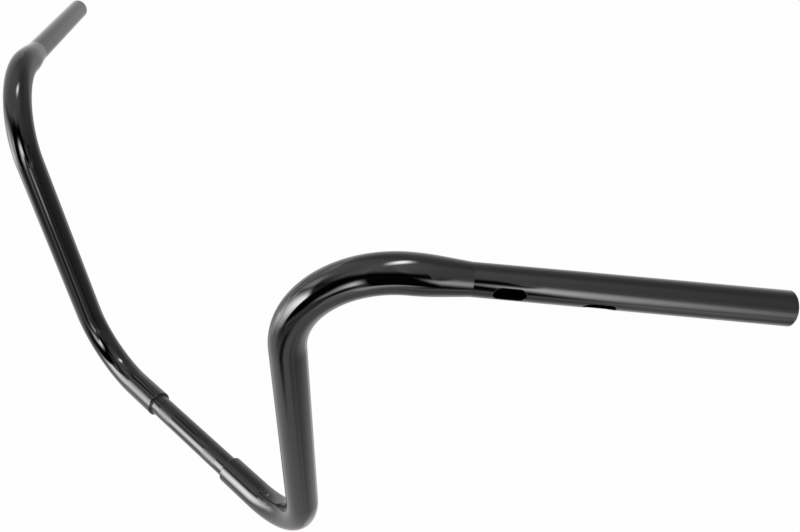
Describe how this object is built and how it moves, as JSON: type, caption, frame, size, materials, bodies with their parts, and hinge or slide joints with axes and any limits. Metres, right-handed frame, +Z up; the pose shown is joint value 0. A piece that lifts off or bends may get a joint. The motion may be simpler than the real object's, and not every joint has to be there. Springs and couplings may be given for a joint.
{
  "type": "ape hanger handlebar",
  "caption": "Tall motorcycle handlebar with a wide tube bent into legs and swept-back grips, a thinner knurled clamp section, and slots in the grips for internal wiring.",
  "frame": {"origin": "middle of the clamp section's axis, between the two riser clamps", "axes": "+X to the rider's right along the clamp section, +Y forward, +Z up along the rise of the legs, which lie in the XZ plane; the grips sweep back to -Y"},
  "size_m": [0.9888, 0.2618, 0.4152],
  "materials": {
    "gloss_black_paint": "gloss black powder coat over steel tube"
  },
  "bodies": {
    "root": {"centre_tube": "gloss_black_paint", "left_arm": "gloss_black_paint", "right_arm": "gloss_black_paint", "left_weld": "gloss_black_paint", "right_weld": "gloss_black_paint"}
  },
  "joints": []
}
